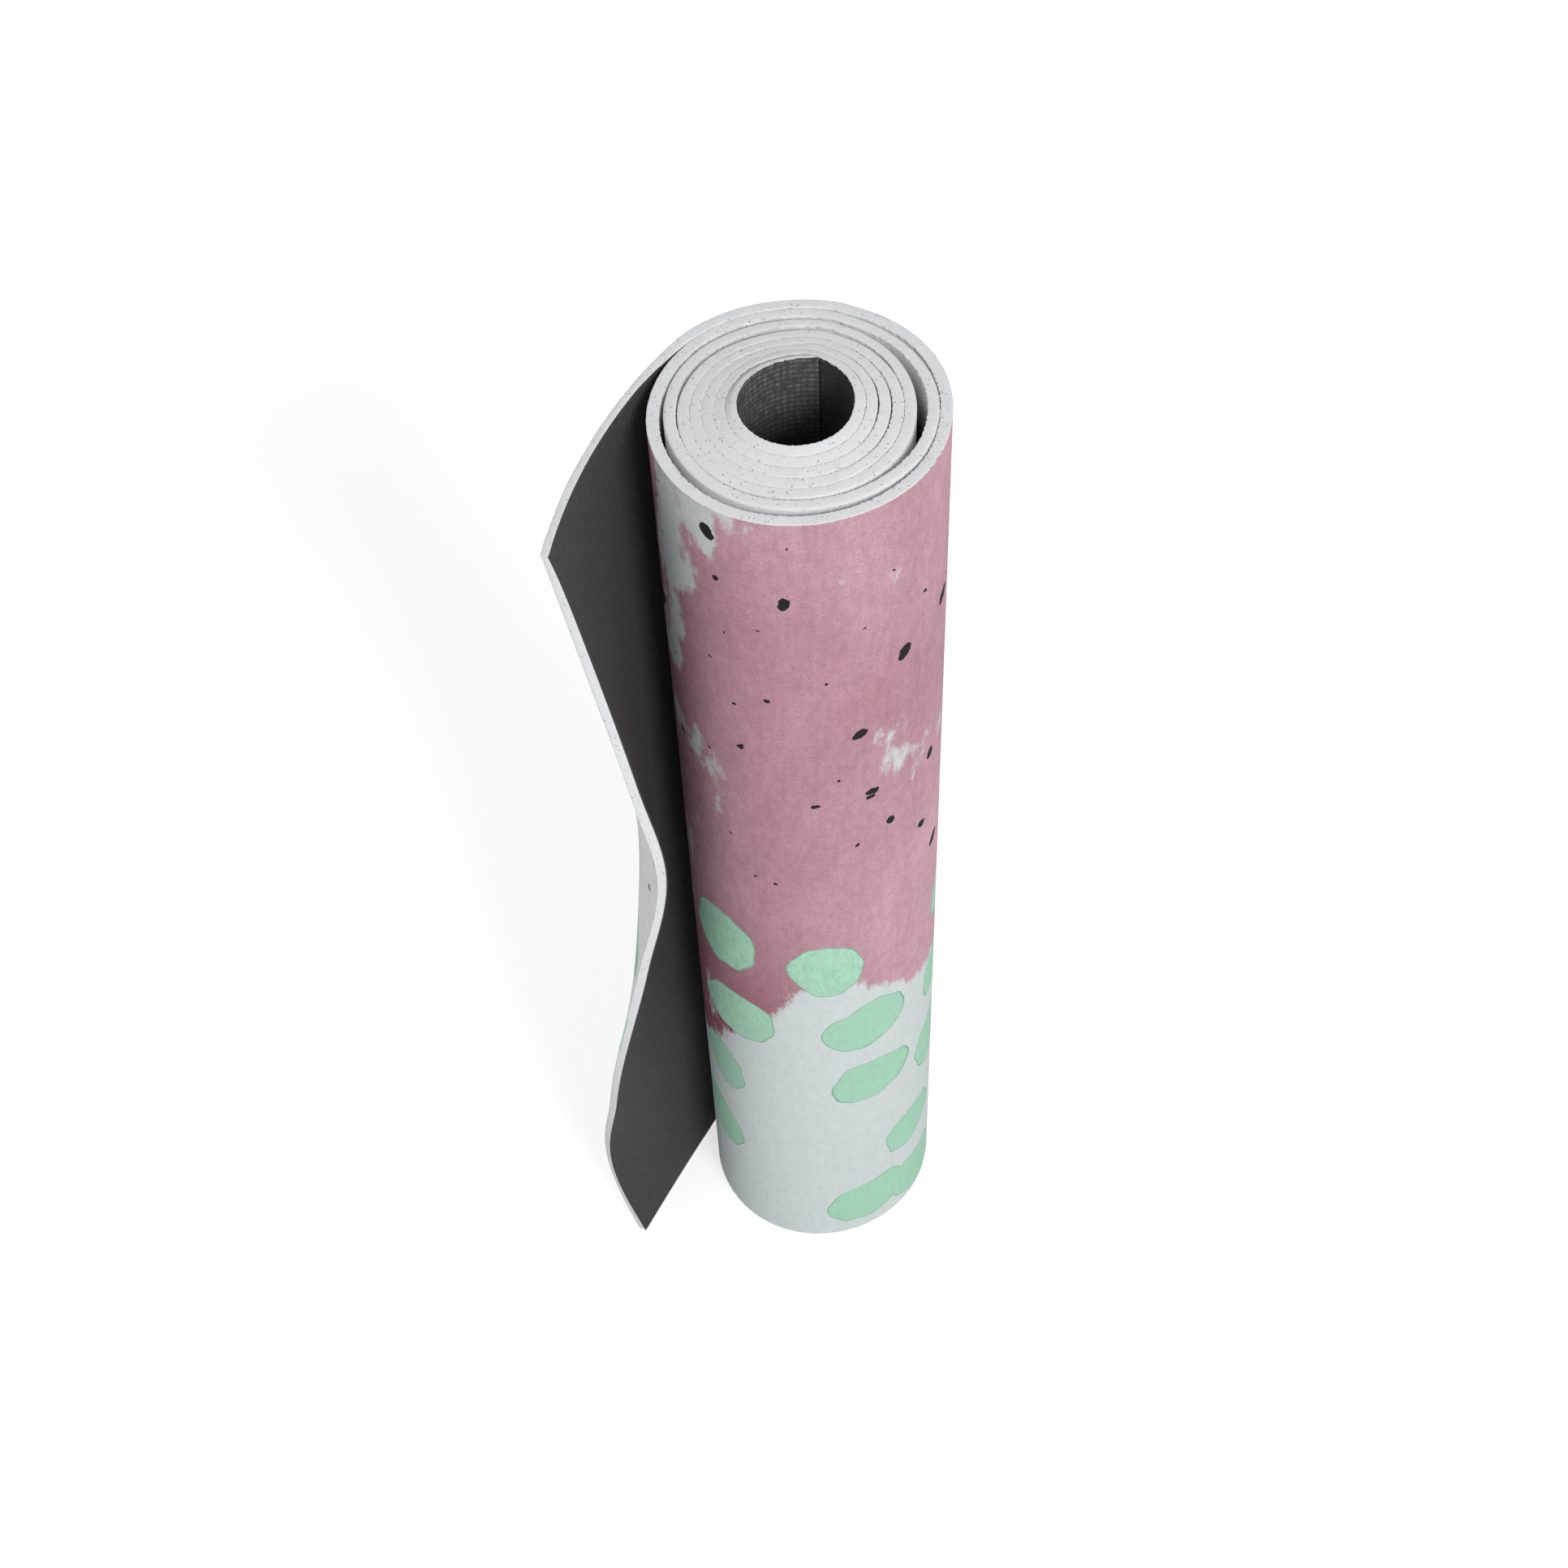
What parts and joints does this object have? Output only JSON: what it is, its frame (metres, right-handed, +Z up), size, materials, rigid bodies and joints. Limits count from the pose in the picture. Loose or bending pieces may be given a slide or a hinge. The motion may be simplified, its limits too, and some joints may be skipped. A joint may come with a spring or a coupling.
{
  "type": "rolled yoga mat",
  "caption": "Rolled exercise mat standing on end: a loose spiral of foam sheet with a printed face, a dark backing and a free end that peels open as a flap.",
  "frame": {"origin": "middle of the footprint of the roll and its flap, on the floor", "axes": "+Z up along the roll's axis; the flap stands out towards -X and its free end points to -Y"},
  "size_m": [0.1848, 0.139, 0.6148],
  "materials": {
    "printed_face": "matt suede-like print in dusty rose, pale mint and grey",
    "foam_core": "cut closed-cell foam, off-white, matt",
    "backing": "dark grey non-slip backing with a fine woven grid, matt"
  },
  "bodies": {
    "roll": {"roll_printed_face": "printed_face", "roll_foam_core": "foam_core", "roll_backing": "backing"},
    "flap": {"flap_printed_face": "printed_face", "flap_foam_core": "foam_core", "flap_backing": "backing"}
  },
  "joints": [
    {"name": "flap_peel", "type": "hinge", "parent": "roll", "child": "flap", "pos_m": [-0.03831, 0.02192, 0.305], "axis": [0, 0, -1], "range_deg": [-15, 70]}
  ]
}
